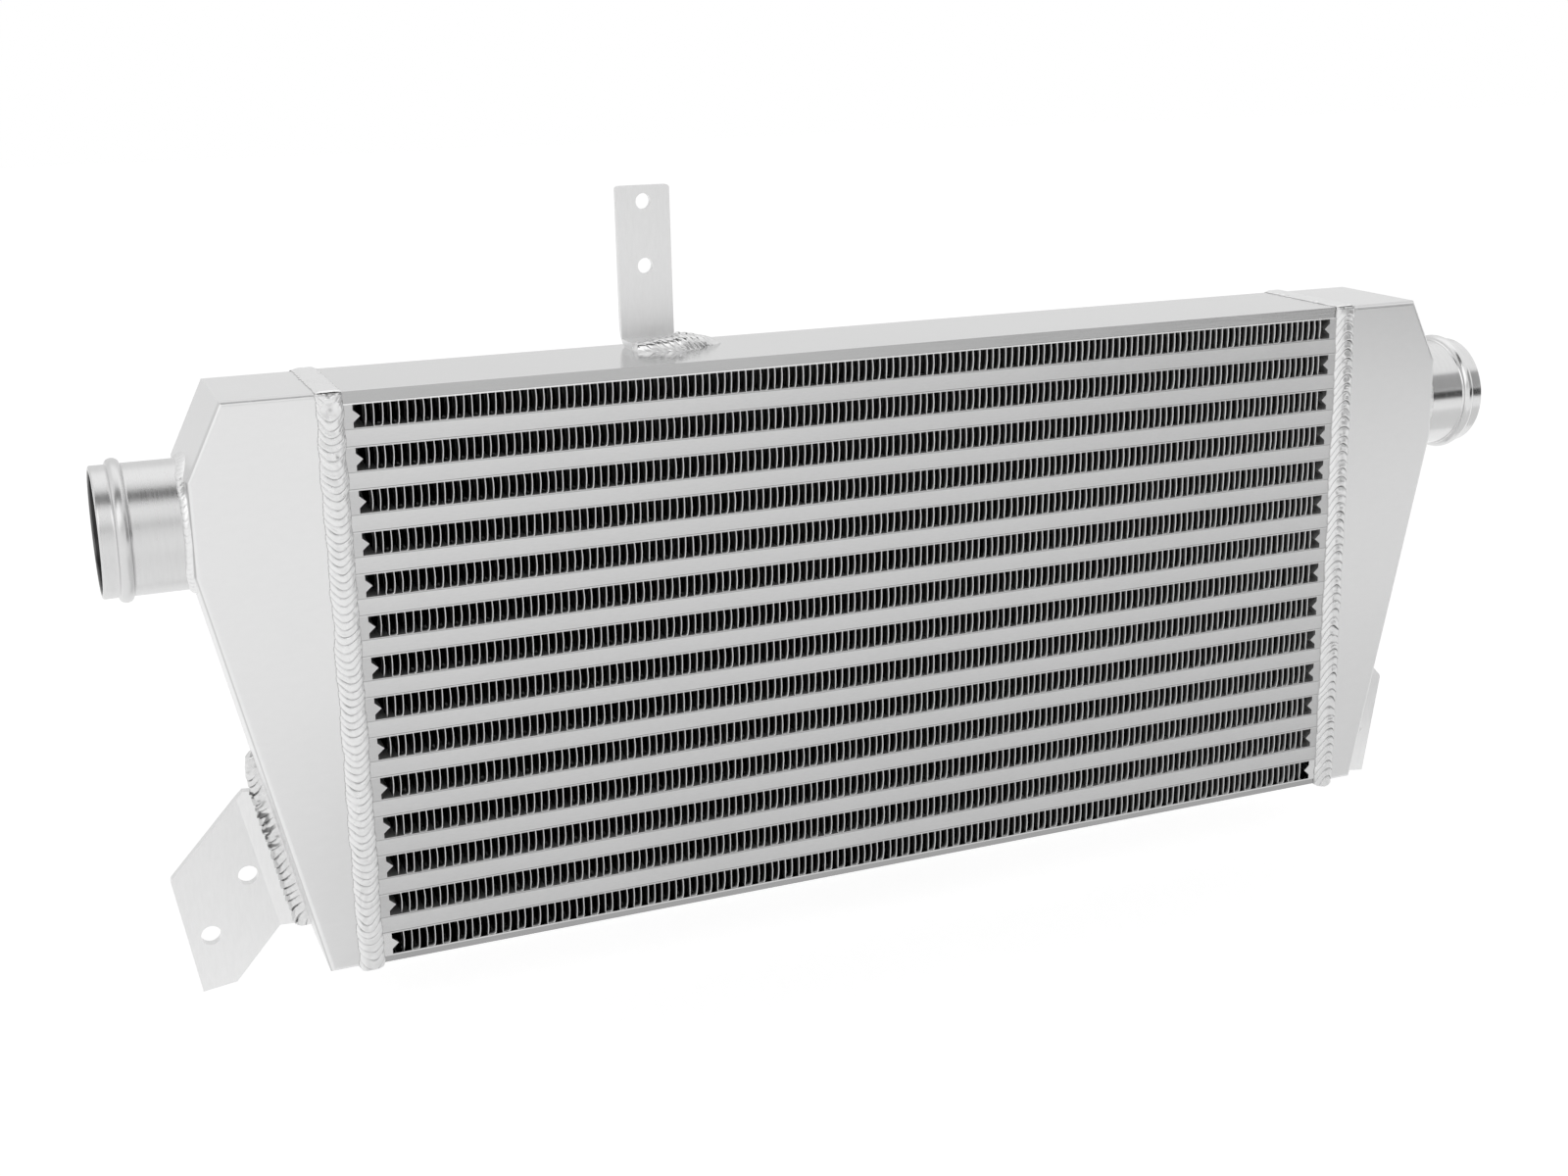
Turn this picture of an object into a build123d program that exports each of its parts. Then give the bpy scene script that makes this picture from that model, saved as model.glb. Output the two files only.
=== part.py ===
"""Bar-and-plate intercooler: brazed core, two welded end tanks with hose stubs, three mounting brackets.

X runs along the core from the left stub to the right one, Y from the front face to the back, Z up.
The pieces are drawn with the core's underside at zero height. As each one is saved it moves down, so that the
origin ends up in the middle of the whole object's box. All sizes are in millimetres.
"""
import os
from math import atan2, cos, hypot, radians, sin, tan

from build123d import *

# Core block, measured between the two planes where the tanks are welded on
core_length = 456.0
core_depth = 56.0
row_count = 14
fin_height = 8.8
charge_bar_height = 6.4
parting_sheet = 0.6
top_plate = 4.5
bottom_plate = 2.6
plate_setback = 0.4

# Bars that close the rows
charge_bar_width = 6.0
air_bar_width = 8.4
air_bar_nose = 2.6
air_bar_nose_height = 4.6

# Folded fins, drawn with wider folds than the real 3 mm ones
air_fin_fold_count = 34
air_fin_gauge = 0.45
air_fin_end_gap = 0.6
air_fin_setback = 0.5
charge_fin_fold_count = 6
charge_fin_gauge = 0.4
charge_fin_side_gap = 0.4
charge_fin_setback = 1.5

# End tanks, with runs measured out from the weld plane and drops down from the core's top
tank_wall = 3.0
tank_edge_radius = 2.0
tank_top_run = 39.0
tank_seat_run = 52.8
tank_bottom_run = 16.0
seat_top_drop = 28.7
seat_bottom_drop = 64.9

# Hose stubs
pipe_radius = 25.0
pipe_wall = 2.0
pipe_reach = 31.5
pipe_drop = 50.0
pipe_inside_reach = 3.0
pipe_lip_chamfer = 0.8
bead_rise = 2.2
bead_half_width = 2.6
bead_half_flat = 1.1
bead_setback = 8.5

# Upright bracket on the core's top
top_bracket_x = -87.6
top_bracket_width = 22.8
top_bracket_gauge = 3.0
top_bracket_height = 65.5
top_bracket_foot = 17.5
top_bracket_setback = 2.5
top_bracket_bend = 5.0
top_bracket_corner = 1.5
top_hole_radius = 3.25
top_hole_drop = 6.5
top_hole_spacing = 26.4

# Lower brackets, with corners measured out from the weld plane and up from the core's underside
lower_bracket_gauge = 4.0
lower_bracket_setback = 4.5
lower_bracket_crease = 11.5
lower_bracket_bend = 12.0
lower_bracket_corner = 2.5
lower_hole_radius = 4.0
lower_apex = (38.4, 63.0)
lower_outer_top = (69.2, 29.5)
lower_outer_bottom = (60.8, -20.6)
lower_foot = (47.2, -18.9)
lower_notch = (28.4, 2.5)
lower_inner_hole = (39.1, 26.7)
lower_outer_hole = (55.6, 3.4)
seam_low = 4.0
seam_high = 63.0

# Weld beads
tank_weld_width = 11.0
tank_weld_crown = 2.2
ground_weld_crown = 0.7
pipe_weld_leg = 2.8
lower_weld_radius = 7.0
lower_weld_tail = 12.0
lower_weld_tail_taper = 22.0
top_weld_radius = 4.6
top_weld_start_radius = 3.2
top_weld_tip_radius = 1.0
top_weld_overrun = 14.0
side_weld_radius = 4.0

# Positions that follow from the sizes above
cell_height = charge_bar_height + 2 * parting_sheet
row_pitch = fin_height + cell_height
base_height = bottom_plate + parting_sheet
cap_height = top_plate + parting_sheet
core_height = base_height + row_count * fin_height + (row_count - 1) * cell_height + cap_height
weld_plane = core_length / 2
half_depth = core_depth / 2
bar_shoulder = weld_plane - air_bar_width
bar_tip = bar_shoulder - air_bar_nose
air_fin_width = 2 * (bar_tip - air_fin_end_gap)
charge_channel = core_depth - 2 * charge_bar_width
tank_seat = weld_plane + tank_seat_run
seat_top = core_height - seat_top_drop
seat_bottom = core_height - seat_bottom_drop
pipe_height = core_height - pipe_drop
pipe_end = tank_seat + pipe_reach
pipe_start = tank_seat - tank_wall - pipe_inside_reach
slant_run = tank_seat_run - tank_bottom_run
slant_angle = atan2(slant_run, seat_bottom)
lower_bracket_front = half_depth - lower_bracket_setback - lower_bracket_gauge
upright_top = core_height + top_bracket_height
box_middle = (upright_top + lower_outer_bottom[1]) / 2


def front_plane(x=0.0, y=0.0, z=0.0):
    """A plane seen from the front: its own x is X and its own y is Z."""
    return Plane(origin=(x, y, z), x_dir=(1, 0, 0), z_dir=(0, -1, 0))


def end_plane(x=0.0, y=0.0, z=0.0):
    """A plane across the core: its own x is Y and its own y is Z."""
    return Plane(origin=(x, y, z), x_dir=(0, 1, 0), z_dir=(1, 0, 0))


def side_name(side):
    return "left" if side < 0 else "right"


def save(part, name):
    placed = part.moved(Location((0, 0, -box_middle)))
    placed.label = name
    export_step(placed, f"parts/{name}.step")


def save_group(solids, name):
    """Saves like pieces that stand apart as the separate solids of one node."""
    with BuildPart() as group:
        add(solids)
    save(group.part, name)


def row_base(index):
    """Height of the underside of an air row, counted up from 0."""
    return base_height + index * row_pitch


def corrugation(width, height, folds, gauge):
    """Closed outline of a sheet folded to and fro between two flat faces."""
    step = width / folds
    rise = gauge * hypot(step, height) / step
    tops = [(k * step - width / 2, height if k % 2 else rise) for k in range(folds + 1)]
    undersides = [(k * step - width / 2, height - rise if k % 2 else 0) for k in range(folds + 1)]
    return tops + undersides[::-1]


def air_bar_outline(side):
    """Section of the bar that closes an air row, with its pointed nose towards the fins."""
    nose_low = (fin_height - air_bar_nose_height) / 2
    nose_high = fin_height - nose_low
    return [
        (side * weld_plane, 0),
        (side * bar_shoulder, 0),
        (side * bar_shoulder, nose_low),
        (side * bar_tip, fin_height / 2),
        (side * bar_shoulder, nose_high),
        (side * bar_shoulder, fin_height),
        (side * weld_plane, fin_height),
    ]


def tank_outline(side, start):
    """Outline of an end tank seen from the front, from the given distance out to the hose seat."""
    return [
        (side * start, 0),
        (side * (weld_plane + tank_bottom_run), 0),
        (side * tank_seat, seat_bottom),
        (side * tank_seat, seat_top),
        (side * (weld_plane + tank_top_run), core_height),
        (side * start, core_height),
    ]


def make_side_plate(name, base, thickness, sheet_base, has_bars):
    """A side plate with the parting sheet brazed to it, and the bars of the lowest row if it carries them."""
    with BuildPart() as side_plate:
        with BuildSketch(end_plane(z=base)):
            Rectangle(core_depth - 2 * plate_setback, thickness, align=(Align.CENTER, Align.MIN))
        with BuildSketch(end_plane(z=sheet_base)):
            Rectangle(core_depth, parting_sheet, align=(Align.CENTER, Align.MIN))
        extrude(amount=weld_plane, both=True)
        if has_bars:
            for side in (-1, 1):
                with BuildSketch(front_plane(z=base_height)):
                    with BuildLine():
                        Polyline(*air_bar_outline(side), close=True)
                    make_face()
                extrude(amount=half_depth, both=True)
    save(side_plate.part, name)


def make_charge_cell(index):
    """One charge-air tube: two parting sheets, the bars between them and the bars of the air row above."""
    base = row_base(index) + fin_height
    with BuildPart() as cell:
        with BuildSketch(end_plane(z=base)):
            Rectangle(core_depth, cell_height, align=(Align.CENTER, Align.MIN))
            with Locations((0, parting_sheet)):
                channel = (charge_channel, charge_bar_height)
                Rectangle(*channel, align=(Align.CENTER, Align.MIN), mode=Mode.SUBTRACT)
        extrude(amount=weld_plane, both=True)
        for side in (-1, 1):
            with BuildSketch(front_plane(z=base + cell_height)):
                with BuildLine():
                    Polyline(*air_bar_outline(side), close=True)
                make_face()
            extrude(amount=half_depth, both=True)
    save(cell.part, f"charge_cell_{index + 1:02d}")


def make_air_fin(index):
    """The folded fin of one air row, open from front to back."""
    with BuildPart() as air_fin:
        with BuildSketch(front_plane(z=row_base(index))):
            with BuildLine():
                outline = corrugation(air_fin_width, fin_height, air_fin_fold_count, air_fin_gauge)
                Polyline(*outline, close=True)
            make_face()
        extrude(amount=half_depth - air_fin_setback, both=True)
    save(air_fin.part, f"air_fin_{index + 1:02d}")


def make_charge_fin(index):
    """The folded fin inside one charge-air tube, open along the core."""
    width = charge_channel - 2 * charge_fin_side_gap
    with BuildPart() as charge_fin:
        with BuildSketch(end_plane(z=row_base(index) + fin_height + parting_sheet)):
            with BuildLine():
                outline = corrugation(width, charge_bar_height, charge_fin_fold_count, charge_fin_gauge)
                Polyline(*outline, close=True)
            make_face()
        extrude(amount=weld_plane - charge_fin_setback, both=True)
    save(charge_fin.part, f"charge_fin_{index + 1:02d}")


def tank_envelope(side):
    """The outer form of an end tank, filled."""
    with BuildPart() as envelope:
        with BuildSketch(front_plane()):
            with BuildLine():
                Polyline(*tank_outline(side, weld_plane), close=True)
            make_face()
        extrude(amount=half_depth, both=True)
        rim_edges = envelope.edges().filter_by(Axis.Y, reverse=True)
        free_edges = rim_edges.filter_by(lambda edge: abs(edge.center().X) > weld_plane + tank_wall)
        fillet(free_edges, radius=tank_edge_radius)
    return envelope.part


def make_tank(side, envelope):
    """An end tank: a welded shell, open towards the core and bored for the hose stub."""
    with BuildPart() as tank:
        add(envelope)
        with BuildSketch(front_plane()):
            with BuildLine():
                Polyline(*tank_outline(side, weld_plane - 2 * tank_wall), close=True)
            make_face()
            offset(amount=-tank_wall, kind=Kind.INTERSECTION)
        extrude(amount=half_depth - tank_wall, both=True, mode=Mode.SUBTRACT)
        with BuildSketch(end_plane(x=side * tank_seat, z=pipe_height)):
            Circle(pipe_radius)
        extrude(amount=tank_wall + pipe_inside_reach, both=True, mode=Mode.SUBTRACT)
    save(tank.part, f"{side_name(side)}_tank")


def pipe_solid(side):
    """A hose stub: a plain tube with a bead of three turned bands near its chamfered mouth."""
    bore_radius = pipe_radius - pipe_wall
    bead_x = pipe_end - bead_setback
    bead_radius = pipe_radius + bead_rise
    with BuildPart() as pipe:
        with BuildSketch(front_plane(z=pipe_height)):
            with BuildLine():
                Polyline(
                    (side * pipe_start, bore_radius),
                    (side * pipe_start, pipe_radius),
                    (side * (bead_x - bead_half_width), pipe_radius),
                    (side * (bead_x - bead_half_flat), bead_radius),
                    (side * (bead_x + bead_half_flat), bead_radius),
                    (side * (bead_x + bead_half_width), pipe_radius),
                    (side * (pipe_end - pipe_lip_chamfer), pipe_radius),
                    (side * pipe_end, pipe_radius - pipe_lip_chamfer),
                    (side * pipe_end, bore_radius),
                    close=True,
                )
            make_face()
        revolve(axis=Axis((0, 0, pipe_height), (1, 0, 0)))
    return pipe.part


def pipe_weld_solid(side, envelope):
    """The fillet weld round a hose stub, laid on whichever tank faces it crosses."""
    root = tank_seat - tank_wall
    toe = tank_seat + pipe_weld_leg
    rim = pipe_radius + pipe_weld_leg
    with BuildPart() as weld:
        with BuildSketch(front_plane(z=pipe_height)):
            with BuildLine():
                Polyline(
                    (side * root, pipe_radius),
                    (side * root, rim),
                    (side * tank_seat, rim),
                    (side * toe, pipe_radius),
                    close=True,
                )
            make_face()
        revolve(axis=Axis((0, 0, pipe_height), (1, 0, 0)))
        add(envelope, mode=Mode.SUBTRACT)
    return weld.part


def make_tank_weld(side):
    """The bead that joins a tank to the core: crowned in front, behind and below, ground down on top."""
    middle = side * weld_plane
    low = middle - tank_weld_width / 2
    high = middle + tank_weld_width / 2
    crown = half_depth + tank_weld_crown
    ground_top = core_height + ground_weld_crown
    with BuildPart() as weld:
        with BuildSketch(Plane.XY.offset(-tank_weld_crown)):
            with BuildLine():
                Line((low, -half_depth), (low, half_depth))
                ThreePointArc((low, half_depth), (middle, crown), (high, half_depth))
                Line((high, half_depth), (high, -half_depth))
                ThreePointArc((high, -half_depth), (middle, -crown), (low, -half_depth))
            make_face()
        extrude(amount=core_height + 2 * tank_weld_crown)
        with BuildSketch(front_plane()):
            with BuildLine():
                Line((low, 0), (low, core_height))
                ThreePointArc((low, core_height), (middle, ground_top), (high, core_height))
                Line((high, core_height), (high, 0))
                ThreePointArc((high, 0), (middle, -tank_weld_crown), (low, 0))
            make_face()
        extrude(amount=core_depth, both=True, mode=Mode.INTERSECT)
        with BuildSketch(end_plane(x=middle)):
            Rectangle(core_depth, core_height, align=(Align.CENTER, Align.MIN))
        extrude(amount=tank_weld_width, both=True, mode=Mode.SUBTRACT)
    save(weld.part, f"{side_name(side)}_tank_weld")


def top_bracket_solid():
    """An angle strip: its foot lies on the side plate and its upright stands near the back edge."""
    back = half_depth - top_bracket_setback
    front = back - top_bracket_gauge
    toe = back - top_bracket_foot
    foot_top = core_height + top_bracket_gauge
    upper_hole = upright_top - top_hole_drop
    with BuildPart() as bracket:
        with BuildSketch(end_plane(x=top_bracket_x)) as section:
            with BuildLine():
                Polyline(
                    (back, core_height),
                    (back, upright_top),
                    (front, upright_top),
                    (front, foot_top),
                    (toe, foot_top),
                    (toe, core_height),
                    close=True,
                )
            make_face()
            heel = section.vertices().group_by(Axis.Y)[0].sort_by(Axis.X)[-1]
            crook = section.vertices().group_by(Axis.Y)[1].sort_by(Axis.X)[-1]
            fillet(heel, radius=top_bracket_bend + top_bracket_gauge)
            fillet(crook, radius=top_bracket_bend)
        extrude(amount=top_bracket_width / 2, both=True)
        top_corners = bracket.edges().filter_by(Axis.Y).group_by(Axis.Z)[-1]
        fillet(top_corners, radius=top_bracket_corner)
        with BuildSketch(front_plane(x=top_bracket_x)):
            with Locations((0, upper_hole), (0, upper_hole - top_hole_spacing)):
                Circle(top_hole_radius)
        extrude(amount=core_depth, both=True, mode=Mode.SUBTRACT)
    return bracket.part


def bead_outline(start, direction, stations):
    """Half the outline of a tapering bead seen from above, from (run, radius) stations along its line."""
    length = hypot(*direction)
    along = (direction[0] / length, direction[1] / length)
    rim = [
        (start[0] + run * along[0] - radius * along[1], start[1] + run * along[1] + radius * along[0])
        for run, radius in stations
    ]
    last = stations[-1][0]
    return [start, *rim, (start[0] + last * along[0], start[1] + last * along[1])]


def top_bracket_weld_solids(bracket):
    """Two short beads on the bracket's foot, both running on past its right side to a point."""
    toe = half_depth - top_bracket_setback - top_bracket_foot
    heel = half_depth - top_bracket_setback - top_bracket_gauge / 2
    left = top_bracket_x - top_bracket_width / 2 + top_weld_radius
    right = top_bracket_x + top_bracket_width / 2
    side_run = (top_weld_overrun, -side_weld_radius)
    toe_stations = [
        (0, top_weld_start_radius),
        (right - top_weld_radius - left, top_weld_radius),
        (right + top_weld_overrun - left, top_weld_tip_radius),
    ]
    side_stations = [(0, side_weld_radius), (hypot(*side_run), top_weld_tip_radius)]
    beads = [((left, toe), (1, 0), toe_stations), ((right, heel), side_run, side_stations)]
    with BuildPart() as weld:
        for start, direction, stations in beads:
            with BuildSketch(Plane.XY.offset(core_height)):
                with BuildLine():
                    Polyline(*bead_outline(start, direction, stations), close=True)
                make_face()
            line = Axis((*start, core_height), (*direction, 0))
            revolve(axis=line, revolution_arc=180)
        add(bracket, mode=Mode.SUBTRACT)
    return weld.part


def seam_plane(side, height):
    """A plane square to the tank's slanted face: its own x points out of the face and its own y is Y."""
    along = (side * sin(slant_angle), 0, cos(slant_angle))
    outward = (side * cos(slant_angle), 0, -sin(slant_angle))
    corner = weld_plane + tank_bottom_run + height * tan(slant_angle)
    return Plane(origin=(side * corner, 0, height), x_dir=outward, z_dir=[side * part for part in along])


def lower_bracket_section():
    """Section of a lower bracket square to the seam, bent where its root leaves the tank."""
    angle = radians(lower_bracket_bend)
    inside = -2 * tank_wall
    reach = lower_outer_top[0]
    front = lower_bracket_front
    root_front = front - (lower_bracket_crease - inside) * tan(angle)
    gauge = lower_bracket_gauge
    return [
        (inside, root_front),
        (lower_bracket_crease, front),
        (reach, front),
        (reach, front + gauge),
        (lower_bracket_crease - gauge * tan(angle / 2), front + gauge),
        (inside - gauge * sin(angle), root_front + gauge * cos(angle)),
    ]


def lower_bracket_solid(side, envelope):
    """A five-sided plate on the tank's slanted face, bent at its root and drilled twice."""
    middle = (seam_low + seam_high) / 2
    corners = [lower_apex, lower_outer_top, lower_outer_bottom, lower_foot, lower_notch]
    outline = [(side * (weld_plane + run), height) for run, height in corners]
    root = [(side * weld_plane, seam_low), (side * weld_plane, seam_high)]
    with BuildPart() as bracket:
        with BuildSketch(seam_plane(side, middle)):
            with BuildLine():
                Polyline(*lower_bracket_section(), close=True)
            make_face()
        extrude(amount=seam_high, both=True)
        with BuildSketch(front_plane()) as blank:
            with BuildLine():
                Polyline(*outline, *root, close=True)
            make_face()
            outermost = blank.vertices().sort_by(Axis.X)[0 if side < 0 else -1]
            fillet(outermost, radius=lower_bracket_corner)
        extrude(amount=core_depth, both=True, mode=Mode.INTERSECT)
        add(envelope, mode=Mode.SUBTRACT)
        with BuildSketch(front_plane()):
            for run, height in (lower_inner_hole, lower_outer_hole):
                with Locations((side * (weld_plane + run), height)):
                    Circle(lower_hole_radius)
        extrude(amount=core_depth, both=True, mode=Mode.SUBTRACT)
    return bracket.part


def lower_bracket_weld_solid(side, envelope, bracket):
    """The bead along a lower bracket's root, on both its faces, with a tapered tail above it."""
    root_shift = lower_bracket_crease * tan(radians(lower_bracket_bend))
    root_middle = lower_bracket_front + lower_bracket_gauge / 2 - root_shift
    length = (seam_high - seam_low) / cos(slant_angle)
    with BuildPart() as weld:
        with BuildSketch(seam_plane(side, seam_low)):
            with Locations((0, root_middle)):
                Circle(lower_weld_radius)
        extrude(amount=side * length)
        with BuildSketch(seam_plane(side, seam_high)):
            with Locations((0, root_middle)):
                Circle(lower_weld_radius)
        extrude(amount=side * lower_weld_tail, taper=lower_weld_tail_taper)
        add(envelope, mode=Mode.SUBTRACT)
        add(bracket, mode=Mode.SUBTRACT)
    return weld.part


def main():
    os.makedirs("parts", exist_ok=True)
    make_side_plate("bottom_side_plate", 0, bottom_plate, bottom_plate, True)
    make_side_plate("top_side_plate", core_height - top_plate, top_plate, core_height - cap_height, False)
    for index in range(row_count - 1):
        make_charge_cell(index)
        make_charge_fin(index)
    for index in range(row_count):
        make_air_fin(index)
    pipes = []
    pipe_welds = []
    bracket_welds = []
    for side in (-1, 1):
        envelope = tank_envelope(side)
        make_tank(side, envelope)
        make_tank_weld(side)
        pipes.append(pipe_solid(side))
        pipe_welds.append(pipe_weld_solid(side, envelope))
        lower_bracket = lower_bracket_solid(side, envelope)
        bracket_welds.append(lower_bracket_weld_solid(side, envelope, lower_bracket))
        save(lower_bracket, f"{side_name(side)}_bracket")
    top_bracket = top_bracket_solid()
    bracket_welds.append(top_bracket_weld_solids(top_bracket))
    save(top_bracket, "top_bracket")
    save_group(pipes, "pipes")
    save_group(pipe_welds, "pipe_welds")
    save_group(bracket_welds, "bracket_welds")
    print(f"core height {core_height:.1f}, overall length {2 * pipe_end:.1f}")


main()
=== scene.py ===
"""Looks of the bar-and-plate intercooler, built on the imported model. All lengths are in metres.

The folded air fins, the weld beads and the hose stubs are drawn here in place of their plainer solids. Every other
node keeps its solid and gets a finish. Nothing moves, so all pieces ride on the one body, root.
"""
import math
import random

import bpy
from mathutils import Matrix, Vector, noise as fields


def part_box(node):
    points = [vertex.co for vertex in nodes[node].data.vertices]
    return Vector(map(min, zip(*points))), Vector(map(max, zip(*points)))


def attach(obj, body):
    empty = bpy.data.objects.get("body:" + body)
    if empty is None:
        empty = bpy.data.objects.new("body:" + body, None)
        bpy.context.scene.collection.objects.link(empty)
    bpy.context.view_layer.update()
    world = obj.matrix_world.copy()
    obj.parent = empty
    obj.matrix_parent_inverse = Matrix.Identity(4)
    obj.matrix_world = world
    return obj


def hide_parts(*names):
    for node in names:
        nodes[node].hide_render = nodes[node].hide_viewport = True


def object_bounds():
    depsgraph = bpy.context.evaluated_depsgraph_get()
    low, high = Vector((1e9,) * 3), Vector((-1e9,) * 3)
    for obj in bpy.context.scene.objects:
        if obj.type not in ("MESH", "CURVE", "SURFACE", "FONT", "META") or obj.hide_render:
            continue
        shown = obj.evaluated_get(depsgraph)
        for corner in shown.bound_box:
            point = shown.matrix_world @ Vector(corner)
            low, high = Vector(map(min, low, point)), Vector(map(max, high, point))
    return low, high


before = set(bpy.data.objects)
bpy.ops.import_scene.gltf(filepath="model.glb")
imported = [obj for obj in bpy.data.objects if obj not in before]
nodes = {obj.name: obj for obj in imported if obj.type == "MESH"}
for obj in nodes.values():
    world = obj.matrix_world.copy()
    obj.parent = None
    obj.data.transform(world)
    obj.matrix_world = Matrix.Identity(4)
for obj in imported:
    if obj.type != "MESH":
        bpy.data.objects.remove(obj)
cad_low, cad_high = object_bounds()

LEFT, RIGHT = -1, 1
SIDE_NAMES = {LEFT: "left", RIGHT: "right"}

# Camera, as fitted to the photograph
LENS = 46.766
SENSOR = 36.0
SHIFT_X = -0.03731
SHIFT_Y = -0.03774
CAMERA_PLACE = (-0.3480, -0.7813, 0.2299)
CAMERA_AZIMUTH = math.radians(23.372)
CAMERA_ELEVATION = math.radians(14.519)
CAMERA_ROLL = math.radians(-0.765)
NEAREST_SEEN = 0.01
FARTHEST_SEEN = 50

# Studio
WORLD_LIGHT = 0.6
FLOOR_DROP = 0.003
FLOOR_REACH = 5.0
FLOOR_LEVEL = 0.9
FLOOR_ROUGHNESS = 0.9
FLOOR_GLOW = 0.76
SHADOW_SHARE = 0.50
FLOOR_HEIGHT = cad_low.z - FLOOR_DROP

# Air fins: foil walls about 3 mm apart, with crests brazed into the sheets, in three strips one behind the other
FIN_ROWS = 14
FIRST_FIN_SEED = 100
FIN_PITCH = 0.0031
FOIL = 0.00032
STRIP_DEPTHS = (0.0, 0.12, 0.88, 1.0)
STRIP_SHIFT = 0.0004
BRAZE_DEPTH = 0.00030
WALL_POINTS = 5
CREST_SHARE = 0.05
CREST_DROP = 0.3
CREST_STEPS = (0.07, 0.20, 0.78)
WALL_WANDER = (-0.05, 0.05)
WALL_LEAN = (0.02, 0.12)
WALL_BOW = (0.03, 0.12)

# Scales of the weld beads. Sag is how far a scale bows along the bead, and skew how far it slants.
ACROSS_POINTS = 45
UNREST = 0.34
CREASE_SHARE = 0.17
RIPPLE = {LEFT: 0.0031, RIGHT: 0.0040}
SAG = {LEFT: 0.0042, RIGHT: -0.0046}
SKEW = {LEFT: 0.0, RIGHT: 0.0020}
# Painted shade in the creases between the tank welds' scales
PAINTED_CREASE_SHADE = {LEFT: 0.60, RIGHT: 0.85}
CREASE_DEPTH = 0.00055
SCALE_RISE = 0.00050
USUAL_CREASE = 0.72
CREASE_CHANGE = 0.5
WEAKEST_CREASE = 0.12
WANDER_WAVES = 110

# Course of the tank welds. Waves are those of the noise, for each metre of bead.
TANK_WELD_STEPS = 2000
CORNER_FOLD = 0.0035
CROWN_SHARE = 0.92
CROWN_GAP = 0.00002
EDGE_SINK = 0.0003
LUMP_RISE = 0.00014
WIDTH_SHARE = 0.90
WIDTH_CHANGE = 0.10
WIDTH_WAVES = 230
SWAY = 0.0004
SWAY_WAVES = 60
FINE_WAVES = 420
SCALE_SPREAD = 0.05
# Painted shade: a dark line along both edges of the tank welds
EDGE_START = 0.95
EDGE_TONE = 0.4

# The upper ends of the tank welds: a crater on the left one, a smooth dome on the right one
CRATER_PLACE = 0.0062
CRATER_RADIUS = 0.0040
CRATER_DEPTH = 0.0011
NO_CRATER = 2.0
CALM_START = 0.7
CALM_RUN = 0.4
# Painted shade in the left weld's crater, fading out from its middle
PAINTED_POOL_SHADE = 0.45
POOL_FALL = 2.2
DOME_RUN = 0.006
END_RUN = 0.0035
END_HEIGHT = 0.35
# Painted shade: a dark line across the upper end of each tank weld
END_LINE = 0.0009
END_TONE = 0.35
END_TONE_CHANGE = 0.5

# Ground strips on top of the tank joints
GROUND_STEPS = 240
GROUND_POINTS = 25
GROUND_OVERHANG = 0.0004
GROUND_RISE = 0.00085
GROUND_LUMPS = 0.00035
GROUND_LUMP_WAVES = 130
GROUND_EDGE_CHANGE = 0.16
# Painted shade: dark lines along the ragged edges of the ground strips
GROUND_EDGE_START = 0.93
PAINTED_GROUND_EDGE_SHADE = 0.7
GROUND_END_STEPS = 5
GROUND_END_SHARE = 0.4
GROUND_LOWEST = -0.0003
SCRATCH_DEPTH = 0.00005
SCRATCH_WAVES = 300
PIT_DEPTH = 0.0004
# Painted shade in the ground strips' pits
PAINTED_PIT_SHADE = 0.8
PIT_WAVES = 520
PIT_GAIN = 2.6
PIT_THRESHOLD = 1.25

# Hose stubs
STUB_SEGMENTS = 160
STUB_WALL = 0.002
STUB_START = 0.0468
BEAD_RISE = 0.0022
BEAD_HALF_WIDTH = 0.0026
BEAD_SETBACK = 0.0085
BEAD_EASE = (0.0034, 0.0040)
BEAD_STEPS = 12
LIP = 0.0008
LIP_STEPS = 5
LIP_EASE = 0.0003
EASE = 0.0004

# Fillet round each hose stub
FILLET_STEPS = 480
FILLET_POINTS = 11
FILLET_LEG = 0.0028
FILLET_RIM = 0.80
FILLET_RIPPLE = 0.0026
FILLET_SAG = 0.0012
FILLET_SINK = 0.0002
FILLET_CHANGE = 0.08
FILLET_DIP = 0.10
FILLET_SWELL = 0.08
# Painted shade in the creases between the fillet's scales
PAINTED_FILLET_SHADE = 0.35

# Beads of the brackets: (height over the core's underside, radius) down the lower seams
BEAD_STEP = 0.00022
BEAD_END_ROUND = 0.002
BEAD_THINNEST = 0.001
BEAD_CHANGE = 0.07
BEAD_CHANGE_WAVES = 240
BEAD_DIP = 0.17
BEAD_SWELL = 0.12
BEAD_LUMPS = 0.03
BEAD_LUMP_WAVES = 500
BEAD_FADE_START = 0.62
BEAD_FADE_RUN = 0.25
BEAD_FAINTEST = 0.12
# Painted shade: dark patches in the folds of the lower seam beads, along SEAM_DARK_RUN
FOLD_GAIN = 3.2
PAINTED_FOLD_SHADE_DARKEST = 0.95
SEAM_STATIONS = ((0.080, 0.0022), (0.074, 0.0045), (0.063, 0.0066), (0.004, 0.0068), (0.0015, 0.0040))
SEAM_RIPPLE = 0.0036
SEAM_SAG = 0.0040
SEAM_UNREST = 0.85
SEAM_DARK_RUN = (0.016, 0.043)
SEAM_OUTWARD_FALL = -0.22
SEAM_SEED = 20
FOOT_RIPPLE = 0.0028
FOOT_UNREST = 0.6
TOE_SAG = -0.0048
TOE_SEED = 31
HEEL_SAG = -0.0045
HEEL_SEED = 32

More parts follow.
